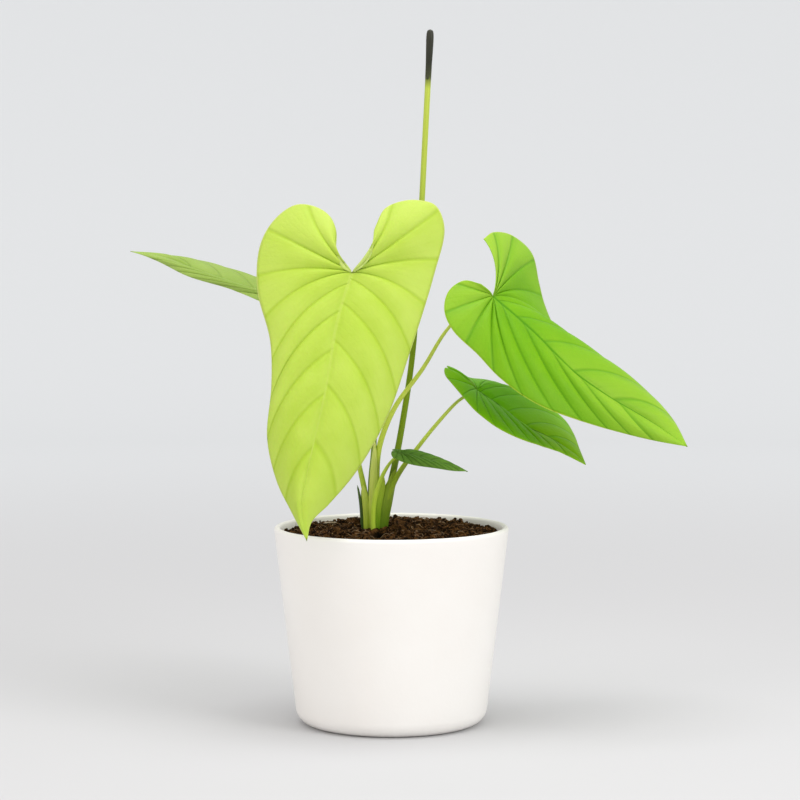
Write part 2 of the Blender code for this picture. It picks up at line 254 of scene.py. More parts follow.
def noise_mask(tree, scale, detail, low, high):
    """A soft cloudy mask from 0 to 1 fixed to the piece."""
    place = tree.nodes.new("ShaderNodeTexCoord")
    cloud = add_node(tree, "ShaderNodeTexNoise")
    cloud.inputs["Scale"].default_value = scale
    cloud.inputs["Detail"].default_value = detail
    link(tree, place.outputs["Object"], cloud.inputs["Vector"])
    spread = add_node(tree, "ShaderNodeMapRange", in_1=low, in_2=high)
    link(tree, cloud.outputs["Fac"], spread.inputs[0])
    return spread.outputs[0]


def add_bump(tree, height, distance):
    bump = add_node(tree, "ShaderNodeBump")
    bump.inputs["Strength"].default_value = 1.0
    bump.inputs["Distance"].default_value = distance
    link(tree, height, bump.inputs["Height"])
    link(tree, bump.outputs["Normal"], tree.nodes["Principled BSDF"].inputs["Normal"])


def pot_material():
    material = plain_material("pot glaze", (0.86, 0.84, 0.81), 0.38)
    tree = material.node_tree
    shader = tree.nodes["Principled BSDF"]
    shader.inputs["Specular IOR Level"].default_value = 0.35
    shader.inputs["Coat Weight"].default_value = 0.08
    shader.inputs["Coat Roughness"].default_value = 0.25
    tone = noise_mask(tree, 14.0, 3.0, 0.35, 0.7)
    link(tree, blend_colours(tree, tone, GLAZE_DULL, GLAZE_CLEAN), shader.inputs["Base Color"])
    gloss = noise_mask(tree, 60.0, 4.0, 0.3, 0.75)
    rough = add_node(tree, "ShaderNodeMapRange", in_3=0.34, in_4=0.46)
    link(tree, gloss, rough.inputs[0])
    link(tree, rough.outputs[0], shader.inputs["Roughness"])
    add_bump(tree, noise_mask(tree, 220.0, 3.0, 0.2, 0.8), 0.00006)
    return material


def make_pot():
    lip = WALL / 2
    lip_centre = (outer_radius(POT_HEIGHT - lip) - lip / math.cos(LEAN), POT_HEIGHT - lip)
    foot_centre = (outer_radius(FOOT_ROUND) - FOOT_ROUND / math.cos(LEAN), FOOT_ROUND)
    inner_round = FOOT_ROUND - WALL
    corner = (foot_centre[0], POT_FLOOR + inner_round)
    inside_low, inside_high = corner[1] + 0.01, POT_HEIGHT - 0.006
    outside_high, outside_low = POT_HEIGHT - 0.008, 0.02
    profile = [(0.0, POT_FLOOR)]
    profile += arc(corner, inner_round, -math.pi / 2, -LEAN, 8)
    profile += [(inner_radius(z), z) for z in np.linspace(inside_low, inside_high, 10)]
    profile += arc(lip_centre, lip, math.pi - LEAN, -LEAN, 12)
    profile += [(outer_radius(z), z) for z in np.linspace(outside_high, outside_low, 12)]
    profile += arc(foot_centre, FOOT_ROUND, -LEAN, -math.pi / 2, 12)
    profile += [(0.0, 0.0)]
    pot = add_piece("pot_shell", turned_mesh("pot_shell", profile, POT_SIDES), [pot_material()])
    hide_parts("pot")
    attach(pot, "root")


make_pot()


# ---------------------------------------------------------------------------
# Soil: dark, crumbly peat mix with bits of bark and fibre, heaped a little
# behind the plant, with a hollow left at the foot of the stalks.
# ---------------------------------------------------------------------------

MM = 0.001
SOIL_TOP = POT_HEIGHT - 0.0055
SOIL_RINGS = 84
SOIL_SPOKES = 300
# The lie of the soil, in millimetres: a mound behind, a dip in front, a collar
# round the clump of stalks and a hollow at its foot.
MOUND_AT = (2.0, 26.0)
MOUND_HEIGHT = 5.0
MOUND_WIDTH = 46.0
DIP_FROM = -18.0
DIP_TO = -42.0
DIP_DEPTH = 3.0
CLUMP_AT = (-9.0, 1.0)
CLUMP_REACH = 11.0
COLLAR_HEIGHT = 2.8
COLLAR_WIDTH = 12.0
HOLLOW_AT = (-9.0, -14.5)
HOLLOW_DEPTH = 5.5
HOLLOW_WIDTH = 4.0
HOLLOW_REACH = 4.5
HOLLOW_STRETCH = 0.3
# Height and wave lengths of the unevenness, in millimetres.
BROAD_LUMPS = (0.9, 6.1, 7.3)
SMALL_LUMPS = (0.5, 3.7, 5.1)
# How high each grade of crumb stands, in millimetres, and how fine it is.
COARSE_GRAIN = (2.0, 140.0)
CLOD_GRAIN = (2.6, 150.0)
FINE_GRAIN = (0.8, 420.0)
# Painted shade: the near black tone of the hollow at the foot of the stalks.
HOLLOW_SHADE_TONE = (0.004, 0.003, 0.001)
# Loose bits, in metres. Crumb and chip sizes are the least and how much more, fibre
# sizes the least and the most. ANY_TURN is about one full turn.
CRUMB_SEED = 4
CRUMB_COUNT = 2600
CRUMB_SIZE = (0.0006, 0.0019)
CHIP_COUNT = 260
CHIP_LENGTH = (0.0016, 0.0034)
CHIP_WIDTH = (0.0008, 0.001)
CHIP_THICKNESS = 0.0005
CHIP_EDGE = 0.00015
FIBRE_COUNT = 210
FIBRE_LENGTH = (0.003, 0.009)
FIBRE_RADIUS = (0.00010, 0.00022)
FIBRE_STEPS = 6
STICK_ENDS = ((-0.0470, 0.0255), (-0.0375, 0.0300))
STICK_RADIUS = 0.0006
ANY_TURN = 6.3


def soil_level(x, y):
    """Height of the soil before its crumbs, in metres."""
    x_mm = x / MM
    y_mm = y / MM
    forward = min(1.0, max(0.0, (y_mm - DIP_FROM) / (DIP_TO - DIP_FROM)))
    off = (x_mm - MOUND_AT[0]) ** 2 + (y_mm - MOUND_AT[1]) ** 2
    mound = MOUND_HEIGHT * math.exp(-off / MOUND_WIDTH ** 2)
    height, wide, deep = BROAD_LUMPS
    lumps = height * math.sin(x_mm / wide + 0.7) * math.cos(y_mm / deep)
    height, wide, deep = SMALL_LUMPS
    lumps += height * math.sin(x_mm / wide - y_mm / deep)
    behind = y_mm - HOLLOW_AT[1]
    behind *= 1.0 if behind > 0 else HOLLOW_STRETCH
    away = math.hypot(x_mm - HOLLOW_AT[0], behind) / HOLLOW_WIDTH
    hollow = HOLLOW_DEPTH * math.exp(-away ** 2)
    near = math.hypot(x_mm - CLUMP_AT[0], y_mm - CLUMP_AT[1]) / COLLAR_WIDTH
    collar = COLLAR_HEIGHT * math.exp(-near ** 4)
    return SOIL_TOP + (mound + lumps + collar - DIP_DEPTH * forward - hollow) * MM


def soil_roughness(x, y):
    """Crumb texture of the soil's surface, in metres."""
    spot = Vector((x, y, 0.0))
    coarse = COARSE_GRAIN[0] * noise.fractal(spot * COARSE_GRAIN[1], 0.7, 2.1, 4)
    clods = CLOD_GRAIN[0] * (0.45 - noise.voronoi(spot * CLOD_GRAIN[1])[0][0])
    fine = FINE_GRAIN[0] * (0.4 - noise.voronoi(spot * FINE_GRAIN[1])[0][0])
    return (coarse + clods + fine) * MM


def soil_material(name, dark, light, red):
    """Dark peat with paler patches and reddish specks, and painted shade darkening the hollow."""
    material = plain_material(name, dark, 0.95)
    tree = material.node_tree
    shader = tree.nodes["Principled BSDF"]
    shader.inputs["Specular IOR Level"].default_value = 0.06
    patches = noise_mask(tree, 240.0, 6.0, 0.46, 0.62)
    specks = noise_mask(tree, 900.0, 3.0, 0.55, 0.72)
    earth = blend_colours(tree, patches, dark, light)
    earth = blend_colours(tree, specks, earth, red)
    # Painted shade: the soil darkens to near black in and around the hollow.
    place = tree.nodes.new("ShaderNodeTexCoord")
    away = add_node(tree, "ShaderNodeVectorMath", operation="DISTANCE")
    away.inputs[1].default_value = (HOLLOW_AT[0] * MM, (HOLLOW_AT[1] + 2.0) * MM,
                                    SOIL_TOP - 1.0 * MM)
    link(tree, place.outputs["Object"], away.inputs[0])
    hollow_shade = soft_step(tree, away.outputs["Value"], 0.0032, 0.0058, 0.9, 0.0)
    link(tree, blend_colours(tree, hollow_shade, earth, HOLLOW_SHADE_TONE), shader.inputs["Base Color"])
    add_bump(tree, noise_mask(tree, 1100.0, 5.0, 0.3, 0.7), 0.0006)
    return material


def lay_grid(bm, steps, place, layer=None):
    """A grid bent to a surface: place takes the shares along its sides. Returns faces."""
    made = bmesh.ops.create_grid(bm, x_segments=steps[0], y_segments=steps[1], size=1.0)
    shares = {vert: ((vert.co.x + 1) / 2, (vert.co.y + 1) / 2) for vert in made["verts"]}
    faces = {face for vert in made["verts"] for face in vert.link_faces}
    for vert, (s, r) in shares.items():
        vert.co = place(s, r)
    if layer is not None:
        for face in faces:
            for loop in face.loops:
                loop[layer].uv = shares[loop.vert]
    return list(faces)


def make_soil_body():
    edge = inner_radius(SOIL_TOP) - 0.0004
    foot_height = 0.014
    foot = inner_radius(foot_height) - 0.0006
    under_height = POT_FLOOR + 0.0004
    smooth_edge = 0.004

    def place(s, r):
        ring = s * (SOIL_RINGS + 3)
        turn = 2 * math.pi * r
        if ring <= SOIL_RINGS:
            out = edge * (ring / SOIL_RINGS)
            x = out * math.cos(turn)
            y = out * math.sin(turn)
            rough = soil_roughness(x, y) * min(1.0, (edge - out) / smooth_edge)
            return (x, y, soil_level(x, y) + rough)
        if ring < SOIL_RINGS + 1.5:
            return (foot * math.cos(turn), foot * math.sin(turn), foot_height)
        if ring < SOIL_RINGS + 2.5:
            return (0.8 * foot * math.cos(turn), 0.8 * foot * math.sin(turn), under_height)
        return (0.0, 0.0, under_height)

    bm = bmesh.new()
    lay_grid(bm, (SOIL_RINGS + 3, SOIL_SPOKES), place)
    peat = soil_material("peat with painted hollow shade", (0.012, 0.0055, 0.0015), (0.13, 0.060, 0.018),
                         (0.27, 0.125, 0.042))
    soil = add_piece("soil_body", close_mesh(bm, "soil_body"), [peat])
    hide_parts("soil")
    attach(soil, "root")


def scatter_spot(seeded, reach):
    """A random place on the soil, clear of the stalks, as (x, y, height)."""
    while True:
        out = reach * math.sqrt(seeded.random())
        turn = 2 * math.pi * seeded.random()
        x = out * math.cos(turn)
        y = out * math.sin(turn)
        clump = math.hypot(x / MM - CLUMP_AT[0], y / MM - CLUMP_AT[1])
        hollow = math.hypot(x / MM - HOLLOW_AT[0], y / MM - HOLLOW_AT[1])
        if clump > CLUMP_REACH and hollow > HOLLOW_REACH:
            return x, y, soil_level(x, y) + soil_roughness(x, y)


def make_crumbs():
    # Blender's noise vectors start from the clock unless they are given a seed.
    noise.seed_set(CRUMB_SEED)
    seeded = random.Random(CRUMB_SEED)
    bm = bmesh.new()
    for _ in range(CRUMB_COUNT):
        x, y, z = scatter_spot(seeded, inner_radius(SOIL_TOP) - 0.003)
        size = CRUMB_SIZE[0] + CRUMB_SIZE[1] * seeded.random() ** 2.6
        made = bmesh.ops.create_icosphere(bm, subdivisions=1, radius=size)
        long = 0.7 + 0.7 * seeded.random()
        tall = 0.5 + 0.5 * seeded.random()
        angle = ANY_TURN * seeded.random()
        pivot = Vector((seeded.random(), 1.0, seeded.random()))
        lie = (Matrix.Translation((x, y, z + 0.2 * size)) @ Matrix.Rotation(angle, 4, pivot)
               @ Matrix.Diagonal((long, 0.8, tall, 1.0)))
        bmesh.ops.transform(bm, matrix=lie, verts=made["verts"])
        for vert in made["verts"]:
            vert.co += 0.25 * size * noise.noise_vector(vert.co * 900.0)
    peat = soil_material("peat crumbs", (0.012, 0.006, 0.002), (0.115, 0.054, 0.017),
                         (0.25, 0.125, 0.048))
    crumbs = add_piece("soil_crumbs", close_mesh(bm, "soil_crumbs", 1e-7), [peat])
    crumbs.data.shade_flat()
    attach(crumbs, "root")


def make_chips():
    seeded = random.Random(9)
    bm = bmesh.new()
    for _ in range(CHIP_COUNT):
        x, y, z = scatter_spot(seeded, inner_radius(SOIL_TOP) - 0.005)
        made = bmesh.ops.create_cube(bm, size=1.0)
        long = CHIP_LENGTH[0] + CHIP_LENGTH[1] * seeded.random() ** 2
        wide = CHIP_WIDTH[0] + CHIP_WIDTH[1] * seeded.random()
        turn = Matrix.Rotation(ANY_TURN * seeded.random(), 4, "Z")
        tilt = Matrix.Rotation(seeded.uniform(-0.5, 0.5), 4, "Y")
        lie = (Matrix.Translation((x, y, z + 0.0003)) @ turn @ tilt
               @ Matrix.Diagonal((long, wide, CHIP_THICKNESS, 1.0)))
        bmesh.ops.transform(bm, matrix=lie, verts=made["verts"])
    bmesh.ops.bevel(bm, geom=list(bm.edges), offset=CHIP_EDGE, segments=1, profile=0.5,
                    affect="EDGES", material=-1)
    bark = soil_material("bark chips", (0.075, 0.030, 0.010), (0.22, 0.095, 0.034),
                         (0.34, 0.18, 0.08))
    chips = add_piece("bark_chips", close_mesh(bm, "bark_chips", 1e-7), [bark])
    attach(chips, "root")


def thread(bm, points, radius, sides=5):
    """A thin closed strand along a few points."""
    points = np.array(points)
    tangents = np.gradient(points, axis=0)

    def place(s, r):
        i = round(s * (len(points) - 1))
        forward = Vector(tangents[i]).normalized()
        side = forward.cross(Vector((0.0, 0.0, 1.0)))
        side = side.normalized() if side.length > 1e-6 else Vector((1.0, 0.0, 0.0))
        up = side.cross(forward)
        end = 0.0 if i in (0, len(points) - 1) else radius
        turn = 2 * math.pi * r
        return Vector(points[i]) + end * (math.cos(turn) * side + math.sin(turn) * up)

    lay_grid(bm, (len(points) - 1, sides), place)


def grain_material(name, colour, roughness, cloud, first, second):
    """Two tones mixed by a cloudy mask of a given scale and detail."""
    material = plain_material(name, colour, roughness)
    tree = material.node_tree
    mask = noise_mask(tree, *cloud, 0.4, 0.6)
    link(tree, blend_colours(tree, mask, first, second),
         tree.nodes["Principled BSDF"].inputs["Base Color"])
    return material


def make_fibres():
    seeded = random.Random(21)
    bm = bmesh.new()
    for _ in range(FIBRE_COUNT):
        x, y, _ = scatter_spot(seeded, inner_radius(SOIL_TOP) - 0.009)
        heading = ANY_TURN * seeded.random()
        length = seeded.uniform(*FIBRE_LENGTH)
        points = []
        for step in range(FIBRE_STEPS + 1):
            share = step / FIBRE_STEPS - 0.5
            px = x + length * share * math.cos(heading + share)
            py = y + length * share * math.sin(heading + share)
            points.append((px, py, soil_level(px, py) + 0.0009 + 0.0006 * math.cos(4 * share)))
        thread(bm, points, seeded.uniform(*FIBRE_RADIUS))
    fibre = grain_material("root fibre", (0.20, 0.12, 0.06), 0.85, (120.0, 2.0),
                           (0.12, 0.065, 0.030), (0.36, 0.24, 0.13))
    fibres = add_piece("soil_fibres", close_mesh(bm, "soil_fibres", 1e-7), [fibre])
    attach(fibres, "root")


def make_pale_stick():
    bm = bmesh.new()
    (x_from, y_from), (x_to, y_to) = STICK_ENDS
    points = []
    for step in range(FIBRE_STEPS + 1):
        share = step / FIBRE_STEPS
        x = x_from + share * (x_to - x_from)
        y = y_from + share * (y_to - y_from) + 0.0005 * math.sin(5 * share)
        points.append((x, y, soil_level(x, y) + 0.0016 + 0.0006 * share))
    thread(bm, points, STICK_RADIUS, 7)
    wood = grain_material("pale wood", (0.55, 0.44, 0.32), 0.8, (500.0, 4.0),
                          (0.42, 0.31, 0.20), (0.66, 0.56, 0.44))
    stick = add_piece("pale_stick", close_mesh(bm, "pale_stick", 1e-7), [wood])
    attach(stick, "root")


make_soil_body()
make_crumbs()
make_chips()
make_fibres()
make_pale_stick()


# ---------------------------------------------------------------------------
# Crown and roots: the short fibrous stem under the soil and the pale fleshy
# roots that run out of it. Their CAD shapes stay as they are.
# ---------------------------------------------------------------------------


def fleshy_material(name, first, second, scale):
    material = plain_material(name, first, 0.75)
    tree = material.node_tree
    shader = tree.nodes["Principled BSDF"]
    link(tree, blend_colours(tree, noise_mask(tree, scale, 4.0, 0.35, 0.65), first, second),
         shader.inputs["Base Color"])
    add_bump(tree, noise_mask(tree, 4 * scale, 3.0, 0.3, 0.7), 0.0003)
    return material


def finish_hidden_parts():
    crown = fleshy_material("crown skin", (0.20, 0.12, 0.05), (0.10, 0.13, 0.04), 160.0)
    root = fleshy_material("root skin", (0.55, 0.45, 0.30), (0.68, 0.60, 0.45), 120.0)
    for name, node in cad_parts.items():
        if name == "crown" or name.startswith("root_"):
            node.data.materials.clear()
            node.data.materials.append(crown if name == "crown" else root)


finish_hidden_parts()


# ---------------------------------------------------------------------------
# Leaf blades: thin heart-shaped sheets with two rounded lobes behind the stalk's
# joint, quilted between side veins that sweep towards the tip. Each is drawn in its
# own frame: u across, v from the joint to the tip, h out of the upper face.
# ---------------------------------------------------------------------------

FAN_SHARE = 0.5
RIB_CREEP = 1.8
VEIN_PLACES = (0.0, 0.07, 0.17, 0.28, 0.39, 0.49, 0.59, 0.68, 0.76, 0.83, 0.90, 1.0)
VEIN_NUMBERS = (0.45, 1.0, 2.0, 3.0, 4.0, 5.0, 6.0, 7.0, 8.0, 9.0, 10.0, 10.9)
VEIN_OFFSET = 0.025
VEIN_WIDTH = 0.085
FINE_RELIEF = 0.12
GRAIN_RELIEF = 0.35
BLADE_STEPS = (150, 30)
BLADE_THICKNESS = 0.00055
# How the sheet bends: how far back the side veins sweep near the tip, and in
# millimetres the span that puffs fully, the margin's ripple and the rib's groove.
TIP_BEND = -0.18
PUFF_SPAN = 30.0
RIPPLE = 0.7
GROOVE_DEPTH = 1.1
GROOVE_WIDTH = 2.6

# In each leaf three shares lighten the margin, the tip and the lobes towards a paler tone: painted
# highlights.
BLADES = {
    "front": dict(
        joint=(-26.1, -25.0, 306.5),
        face=(0.03, -0.932, 0.361),
        tip_way=(-0.15, -0.361, -0.92),
        midrib=[(0, 0, 0), (4, 35, 4), (4, 85, 7), (7, 142, 5), (7, 166, 3), (0, 186.5, 0)],
        left=[(9, -5, 0), (12.5, -13, -1), (15, -28, -2), (21, -38, -3), (32, -44, -5),
              (45, -44, -7), (57, -33, -9), (64, -14, -10),
              (61, 18, -9), (46, 55, -4), (40, 86, -3), (37, 121, -4), (26, 149, -4),
              (14, 167, -2), (0, 186.5, 0)],
        right=[(-3, -3, 1), (-10, -14, 3), (-11, -21, 3), (-10, -30, 3), (-11, -36, 2),
               (-14.5, -48, 0), (-24, -56, -3), (-36, -60.5, -7), (-48, -59.5, -10),
               (-56, -46, -13), (-54, -10, -12), (-46, 49, -8), (-38, 95, -6),
               (-24, 134, -5), (-10, 159, -3), (-1, 173, -1), (0, 186.5, 0)],
        lobe_bend=0.40,
        rise=0.11,
        quilt=2.3,
        highlight_shares=(0.4, 0.0, 0.3),
        colours=dict(sheet=(0.475, 0.625, 0.085), deep=(0.36, 0.52, 0.026),
                     vein=(0.33, 0.48, 0.02), highlight_tone=(0.54, 0.67, 0.13),
                     midrib=(0.47, 0.61, 0.09), rim=(0.60, 0.70, 0.18), back=(0.52, 0.64, 0.18)),
        slot="front_blade",
    ),
    "left": dict(
        joint=(-50.5, 35.0, 280.3),
        face=(0.153, -0.194, 0.969),
        tip_way=(-0.839, 0.493, 0.231),
        midrib=[(0, 0, 0), (-6, 45, 1), (-5, 90, 2), (6, 135, 1), (0, 163, 0)],
        left=[(7, -18, -3), (14, -25, -6), (19, -20, -9), (21, -2, -10), (21, 28, -8),
              (23, 66, -5), (25, 100, -2), (22, 135, 0), (0, 163, 0)],
        right=[(-7, -18, -2), (-14, -25, -3), (-21, -18, -4), (-24, 0, -4), (-23, 25, -2),
               (-20.5, 60, 0), (-18, 95, 0), (-4, 135, 0), (0, 163, 0)],
        lobe_bend=0.14,
        rise=0.08,
        quilt=1.2,
        highlight_shares=(0.2, 0.2, 0.3),
        colours=dict(sheet=(0.28, 0.40, 0.075), deep=(0.21, 0.33, 0.04),
                     vein=(0.20, 0.31, 0.04), highlight_tone=(0.42, 0.56, 0.15),
                     midrib=(0.16, 0.28, 0.02), rim=(0.50, 0.64, 0.20), back=(0.38, 0.52, 0.15)),
        slot="left_blade",
    ),
    "upper_right": dict(
        joint=(68.4, -15.0, 290.3),
        face=(0.453, -0.674, 0.584),
        tip_way=(0.79, 0.0, -0.613),
        midrib=[(0, 0, 0), (5, 34, 2), (11, 72, 1), (8, 96, -1), (-1, 138, -3), (0, 165, 0)],
        left=[(2, -12, 3), (4, -22, -2), (14, -26, -8), (27, -21, -12), (37, -9, -12),
              (43, 14, -10), (49, 35, -9), (48, 64, -9), (35, 96, -9), (16, 132, -7),
              (0, 165, 0)],
        right=[(-33, -28, 6), (-49, -25, 2), (-67, -12, -6), (-72, 6, -13), (-60, 22, -20),
               (-49, 34, -23), (-37.5, 50, -24), (-34, 69, -25), (-36, 103, -22), (-34, 127, -14),
               (-20, 147, -6), (0, 165, 0)],
        lobe_bend=0.14,
        rise=0.085,
        quilt=2.0,
        highlight_shares=(0.08, 0.45, 0.5),
        colours=dict(sheet=(0.175, 0.41, 0.004), deep=(0.10, 0.32, 0.001),
                     vein=(0.075, 0.27, 0.001), highlight_tone=(0.42, 0.62, 0.06),
                     midrib=(0.07, 0.26, 0.001), rim=(0.45, 0.62, 0.05), back=(0.34, 0.54, 0.10)),
        slot="right_blades",
    ),
    "lower_right": dict(
        joint=(58.5, 12.0, 225.7),
        face=(0.548, -0.342, 0.764),
        tip_way=(0.821, 0.042, -0.57),
        midrib=[(0, 0, 0), (0, 18, 0), (3, 41, 0), (-4, 60, 0), (-5, 80, 0), (0, 90.5, 0)],
        left=[(0.3, -13, 0.5), (0.5, -22.5, 0.8), (3.5, -27, 1), (10, -25, 0), (15, -19, 0),
              (22, -9, 0), (31, 4, 0),
              (35, 22, 0), (30, 39, 0), (19, 55, 0), (7, 71, 0), (0, 90.5, 0)],
        right=[(-0.3, -13, 0.5), (-0.5, -22, 0.6), (-4, -26, 0.5), (-16, -20, -4), (-29, -6, -8),
               (-36, 8, -4), (-41, 28, -1), (-47, 50, 0), (-48, 66, 0), (-36, 76, 0),
               (-15, 84, 0), (0, 90.5, 0)],
        lobe_bend=0.14,
        rise=0.10,
        quilt=1.0,
        highlight_shares=(0.2, 0.8, 0.3),
        colours=dict(sheet=(0.18, 0.50, 0.002), deep=(0.12, 0.38, 0.001),
                     vein=(0.10, 0.34, 0.001), highlight_tone=(0.30, 0.56, 0.008),
                     midrib=(0.035, 0.15, 0.001), rim=(0.36, 0.56, 0.03), back=(0.26, 0.44, 0.06)),
        slot="right_blades",
    ),
    "small": dict(
        joint=(5.0, -19.5, 186.2),
        face=(0.24, -0.34, 0.91),
        tip_way=(0.96, -0.05, -0.25),
        midrib=[(0, 0, 0), (0, 25, 0.5), (0, 48, 0)],
        left=[(0.1, -2, 0), (1.2, -4.5, -0.5), (5.5, -3.5, -2), (8, 5, -2.5), (7.5, 22, -2),
              (5, 36, -1), (0, 48, 0)],
        right=[(-0.1, -2, 0), (-1.2, -4.5, -0.5), (-5.5, -3.5, -1.5), (-8.5, 6, -2), (-8, 24, -2),
               (-5, 38, -1), (0, 48, 0)],
        lobe_bend=0.14,
        rise=0.22,
        quilt=0.7,
        highlight_shares=(0.5, 0.5, 0.0),
        # The small leaf's pale midrib tone is a painted highlight along the midrib.
        colours=dict(sheet=(0.085, 0.20, 0.016), deep=(0.035, 0.10, 0.008),
                     vein=(0.050, 0.13, 0.010), highlight_tone=(0.14, 0.28, 0.03),
                     midrib=(0.19, 0.34, 0.06), rim=(0.24, 0.42, 0.04), back=(0.14, 0.32, 0.03)),
        slot="small_blade",
    ),
}


def smooth_path(points, steps):
    """Evenly spaced points on a smooth curve through the given ones."""
    points = np.array(points, dtype=float)
    knots = np.r_[0.0, np.cumsum(np.sqrt(np.linalg.norm(np.diff(points[:, :3], axis=0), axis=1)))]
    slopes = np.gradient(points, knots, axis=0)
    fine = np.linspace(0.0, knots[-1], 60 * len(points))
    index = np.clip(np.searchsorted(knots, fine, side="right") - 1, 0, len(knots) - 2)
    span = (knots[index + 1] - knots[index])[:, None]
    x = (fine - knots[index])[:, None] / span
    curve = ((1 + 2 * x) * (1 - x) ** 2 * points[index]
             + x * (1 - x) ** 2 * span * slopes[index]
             + x ** 2 * (3 - 2 * x) * points[index + 1]
             + x ** 2 * (x - 1) * span * slopes[index + 1])
    length = np.r_[0.0, np.cumsum(np.linalg.norm(np.diff(curve[:, :3], axis=0), axis=1))]
    at = np.linspace(0.0, length[-1], steps + 1)
    return np.stack([np.interp(at, length, curve[:, k]) for k in range(curve.shape[1])], axis=1)


def vein_phase(t, side):
    """Counts the side veins along the margin: each whole number is a vein."""
    shift = 0.0 if side == "left" else VEIN_OFFSET
    return float(np.interp(t + shift * math.sin(math.pi * t), VEIN_PLACES, VEIN_NUMBERS))


def half_blade(leaf, side):
    """Points of half a blade, from the midrib out to the margin along the side veins."""
    along, across = BLADE_STEPS
    edge = smooth_path(leaf[side], along)
    spine = smooth_path(leaf["midrib"], 10 * along)
    out_sign = 1 if side == "left" else -1
    w = np.linspace(0.0, 1.0, across + 1)[:, None]
    up = np.array([0.0, 0.0, 1.0])
    rows = []
    for i in range(along + 1):
        t = i / along
        place = max(0.0, (t - FAN_SHARE) / (1 - FAN_SHARE)) ** RIB_CREEP
        root = spine[round(place * 10 * along)]
        reach = edge[i] - root
        length = np.linalg.norm(reach)
        sideways = out_sign * np.array([-reach[1], reach[0], 0.0])
        lobe_bend = leaf["lobe_bend"]
        bend = lobe_bend + (TIP_BEND - lobe_bend) * min(1.0, t / FAN_SHARE) ** 0.8
        middle = (root + edge[i]) / 2 + bend * sideways + leaf["rise"] * length * up
        row = (1 - w) ** 2 * root + 2 * w * (1 - w) * middle + w ** 2 * edge[i]
        phase = vein_phase(t, side) % 1.0
        puff = math.sin(math.pi * phase ** 0.8) ** 0.7 if phase > 0 else 0.0
        room = min(1.0, length / PUFF_SPAN)
        body = np.sin(math.pi * w ** 0.85) ** 0.7 * room
        ripple = RIPPLE * math.sin(9.0 * t + 2.0 * out_sign) * w ** 5 * room
        groove = -GROOVE_DEPTH * np.exp(-(w * length / GROOVE_WIDTH) ** 2)
        groove = groove * min(1.0, 4 * (1 - t))
        row = row + (leaf["quilt"] * puff * body + ripple + groove) * up
        rows.append(row)
    return np.array(rows)


def leaf_matrix(leaf):
    """Leaf frame to world: columns across, along and out of the upper face."""
    out = Vector(leaf["face"]).normalized()
    along = Vector(leaf["tip_way"])
    along = (along - along.dot(out) * out).normalized()
    across = along.cross(out)
    turn = Matrix((across, along, out)).transposed().to_4x4()
    return Matrix.Translation(Vector(leaf["joint"]) * MM) @ turn


def make_vein_group():
    """Masks from a blade's own map: x counts the side veins, y leaves the midrib."""
    group = bpy.data.node_groups.new("Leaf veins", "ShaderNodeTree")
    group.interface.new_socket("Map", in_out="INPUT", socket_type="NodeSocketVector")
    group.interface.new_socket("Vein width", in_out="INPUT", socket_type="NodeSocketFloat")
    for name in ("Vein", "Fine", "Shade", "Midrib", "Rim", "Margin", "Tip", "Lobe"):
        group.interface.new_socket(name, in_out="OUTPUT", socket_type="NodeSocketFloat")
    enter = group.nodes.new("NodeGroupInput")
    leave = group.nodes.new("NodeGroupOutput")
    split = group.nodes.new("ShaderNodeSeparateXYZ")
    link(group, enter.outputs["Map"], split.inputs[0])

    def line(source, times, width):
        scaled = add_node(group, "ShaderNodeMath", operation="MULTIPLY", in_1=times)
        link(group, source, scaled.inputs[0])
        wave = add_node(group, "ShaderNodeMath", operation="PINGPONG", in_1=0.5)
        link(group, scaled.outputs[0], wave.inputs[0])
        fade = add_node(group, "ShaderNodeMapRange", interpolation_type="SMOOTHSTEP",
                        in_1=0.0, in_3=1.0, in_4=0.0)
        link(group, wave.outputs[0], fade.inputs[0])
        if isinstance(width, float):
            fade.inputs[2].default_value = width
        else:
            link(group, width, fade.inputs[2])
        return fade.outputs[0]

    link(group, line(split.outputs[0], 1.0, enter.outputs["Vein width"]), leave.inputs["Vein"])
    link(group, line(split.outputs[0], 5.0, 0.22), leave.inputs["Fine"])
    part = add_node(group, "ShaderNodeMath", operation="FRACT")
    link(group, split.outputs[0], part.inputs[0])
    for name, source, low, high, first, last in (
            ("Midrib", split.outputs[1], 0.008, 0.024, 1.0, 0.0),
            ("Rim", split.outputs[1], 0.984, 0.994, 0.0, 1.0),
            ("Margin", split.outputs[1], 0.45, 1.0, 0.0, 1.0),
            ("Tip", split.outputs[0], 7.0, 10.5, 0.0, 1.0),
            ("Lobe", split.outputs[0], 0.5, 4.5, 1.0, 0.0),
            ("Shade", part.outputs[0], 0.0, 0.45, 1.0, 0.0)):
        link(group, soft_step(group, source, low, high, first, last), leave.inputs[name])
    return group


vein_group = make_vein_group()


def set_flesh(shader, shine, glow):
    """Living tissue: a dull shine, and light that passes a little way through."""
    shader.inputs["Specular IOR Level"].default_value = shine
    shader.inputs["Subsurface Weight"].default_value = glow
    shader.inputs["Subsurface Radius"].default_value = (0.6, 1.0, 0.2)
    shader.inputs["Subsurface Scale"].default_value = 0.002


